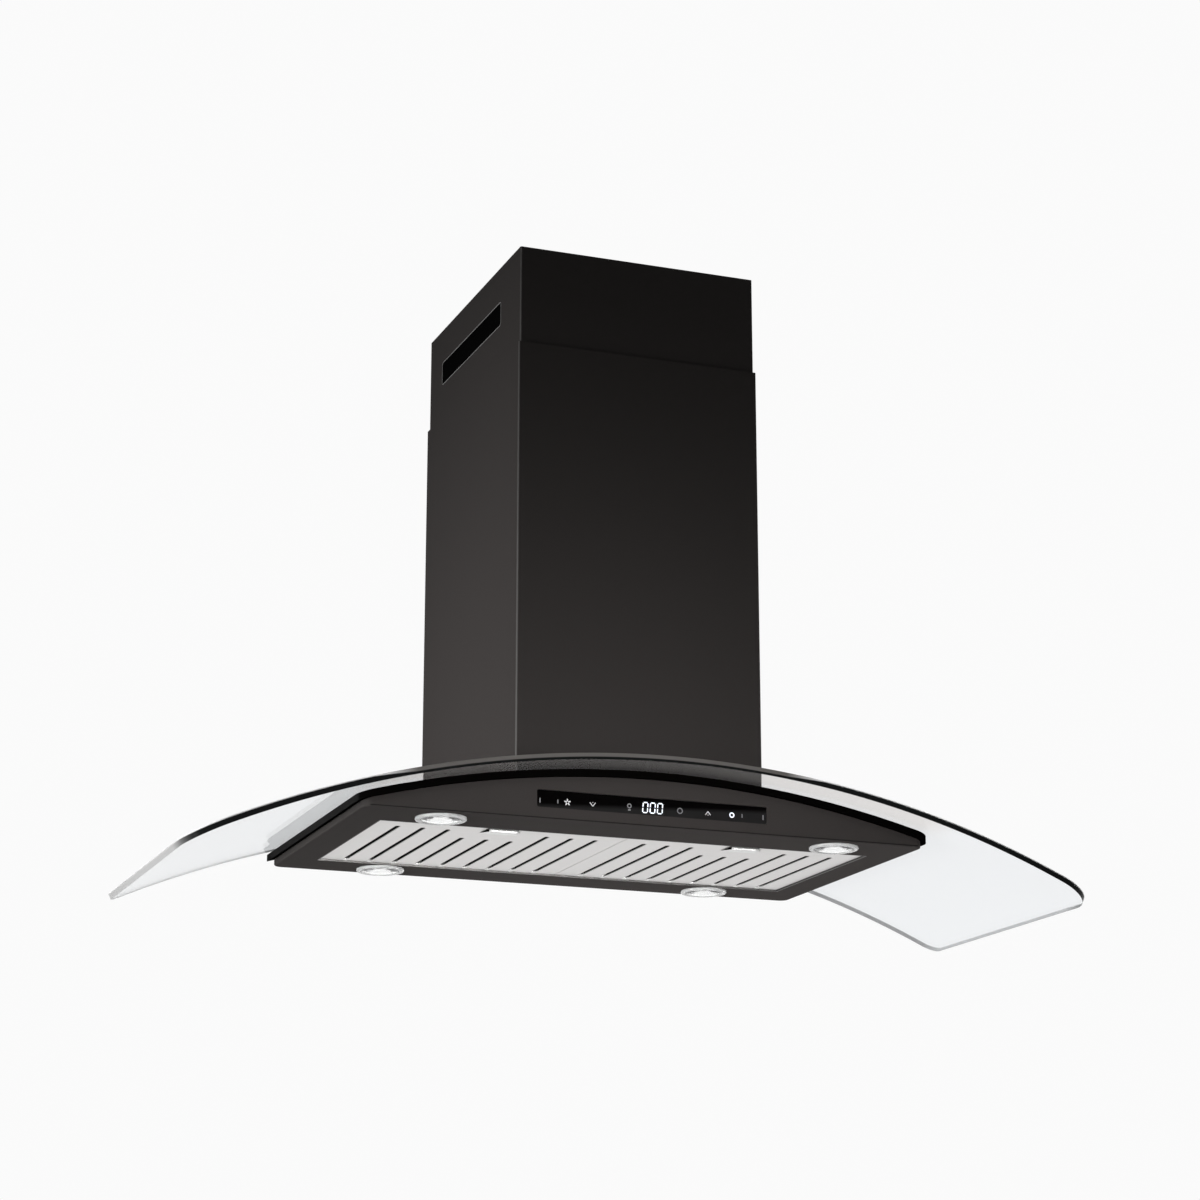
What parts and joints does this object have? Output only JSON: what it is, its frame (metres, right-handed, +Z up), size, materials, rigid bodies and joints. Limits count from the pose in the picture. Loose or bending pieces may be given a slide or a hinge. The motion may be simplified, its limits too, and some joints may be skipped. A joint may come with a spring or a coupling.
{
  "type": "range hood",
  "caption": "Wall-mounted range hood: arched clear glass canopy on a black steel body, telescopic chimney cover, slotted grease filters, round lamps and a touch strip.",
  "frame": {"origin": "on the wall plane, midway between the two holes of the wall rail that the hood hangs on", "axes": "+X to the right as one faces the hood, +Y into the wall (the controls face -Y), +Z up"},
  "size_m": [0.9, 0.372, 0.6278],
  "materials": {
    "black_coat": "satin black powder coat with a faint warm cast",
    "band_black": "semi-gloss black",
    "clear_glass": "clear 6 mm tempered glass, polished edges",
    "black_rubber": "matte",
    "zinc_steel": "zinc plated",
    "galvanised": "galvanised sheet with a faint spangle",
    "shaft_steel": "ground steel",
    "motor_alloy": "die cast",
    "winding_copper": "varnished copper winding on laminations",
    "fan_plastic": "moulded, dark grey",
    "black_plastic": "moulded, fine grain",
    "grey_plastic": "moulded, light grey",
    "board_green": "solder mask",
    "capacitor_white": "moulded can",
    "stainless": "fine brushed stainless",
    "latch_metal": "bright satin",
    "spring_steel": "wire",
    "lamp_ring": "satin chrome",
    "lamp_clear": "clear, faceted diffuser",
    "lamp_white": "white holder with an LED board",
    "black_glass": "high gloss black touch glass",
    "display_black": "smoked display window"
  },
  "bodies": {
    "body": {"canopy_body": "black_coat", "deck_plate": "black_coat", "seat_frame": "band_black", "curved_glass": "clear_glass", "glass_spacers": "black_rubber", "glass_washers": "zinc_steel", "glass_screws": "zinc_steel", "glass_nuts": "zinc_steel", "blower_box": "galvanised", "blower_top_plate": "galvanised", "foot_screws": "zinc_steel", "wall_rail": "galvanised", "cord_gland": "black_plastic", "junction_box": "grey_plastic", "junction_lid": "grey_plastic", "power_board": "board_green", "capacitor": "capacitor_white", "capacitor_clip": "zinc_steel", "scroll_housing": "galvanised", "motor_bracket": "galvanised", "motor_screws": "zinc_steel", "motor_can": "motor_alloy", "motor_stator": "winding_copper", "motor_bearings": "shaft_steel", "outlet_collar": "black_plastic", "collar_screws": "zinc_steel", "damper_rods": "shaft_steel", "lower_chimney_cover": "black_coat", "upper_cover_rests": "galvanised", "lower_cover_brackets": "galvanised", "filter_rim": "stainless", "lamp_bezels": "lamp_ring", "lamp_lenses": "lamp_clear", "lamp_led_modules": "lamp_white", "lamp_clips": "galvanised", "control_glass": "black_glass", "control_case": "black_plastic", "control_board": "board_green", "display_module": "display_black"},
    "fan": {"impeller": "fan_plastic", "impeller_nut": "shaft_steel", "motor_shaft": "shaft_steel", "motor_rotor": "shaft_steel"},
    "damper_left": {"damper_flap_left": "black_plastic"},
    "damper_right": {"damper_flap_right": "black_plastic"},
    "upper_chimney": {"upper_chimney_cover": "black_coat", "upper_wall_bracket": "galvanised", "upper_bracket_screws": "zinc_steel"},
    "filter_left": {"filter_left_faceplate": "stainless", "filter_left_baffles": "stainless", "filter_left_back_frame": "stainless", "latch_left_guide": "galvanised", "latch_left_spring": "spring_steel"},
    "filter_right": {"filter_right_faceplate": "stainless", "filter_right_baffles": "stainless", "filter_right_back_frame": "stainless", "latch_right_guide": "galvanised", "latch_right_spring": "spring_steel"},
    "latch_left": {"latch_left_slider": "latch_metal"},
    "latch_right": {"latch_right_slider": "latch_metal"}
  },
  "joints": [
    {"name": "fan_spin", "type": "hinge", "parent": "body", "child": "fan", "pos_m": [0, -0.112, -0.085], "axis": [1, 0, 0], "continuous": true},
    {"name": "damper_left_hinge", "type": "hinge", "parent": "body", "child": "damper_left", "pos_m": [-0.004, -0.15, 0.109], "axis": [0, 1, 0], "range_deg": [0, 75]},
    {"name": "damper_right_hinge", "type": "hinge", "parent": "body", "child": "damper_right", "pos_m": [0.004, -0.15, 0.109], "axis": [0, -1, 0], "range_deg": [0, 75]},
    {"name": "chimney_extend", "type": "slide", "parent": "body", "child": "upper_chimney", "axis": [0, 0, 1], "range_m": [0, 0.28]},
    {"name": "filter_left_tilt", "type": "hinge", "parent": "body", "child": "filter_left", "pos_m": [0, -0.052, -0.2485], "axis": [1, 0, 0], "range_deg": [0, 60]},
    {"name": "filter_right_tilt", "type": "hinge", "parent": "body", "child": "filter_right", "pos_m": [0, -0.052, -0.2485], "axis": [1, 0, 0], "range_deg": [0, 60]},
    {"name": "latch_left_slide", "type": "slide", "parent": "filter_left", "child": "latch_left", "axis": [0, 1, 0], "range_m": [0, 0.005], "stiffness_N_per_m": 300, "springref_m": -0.004, "deforming": ["latch_left_spring"]},
    {"name": "latch_right_slide", "type": "slide", "parent": "filter_right", "child": "latch_right", "axis": [0, 1, 0], "range_m": [0, 0.005], "stiffness_N_per_m": 300, "springref_m": -0.004, "deforming": ["latch_right_spring"]}
  ]
}
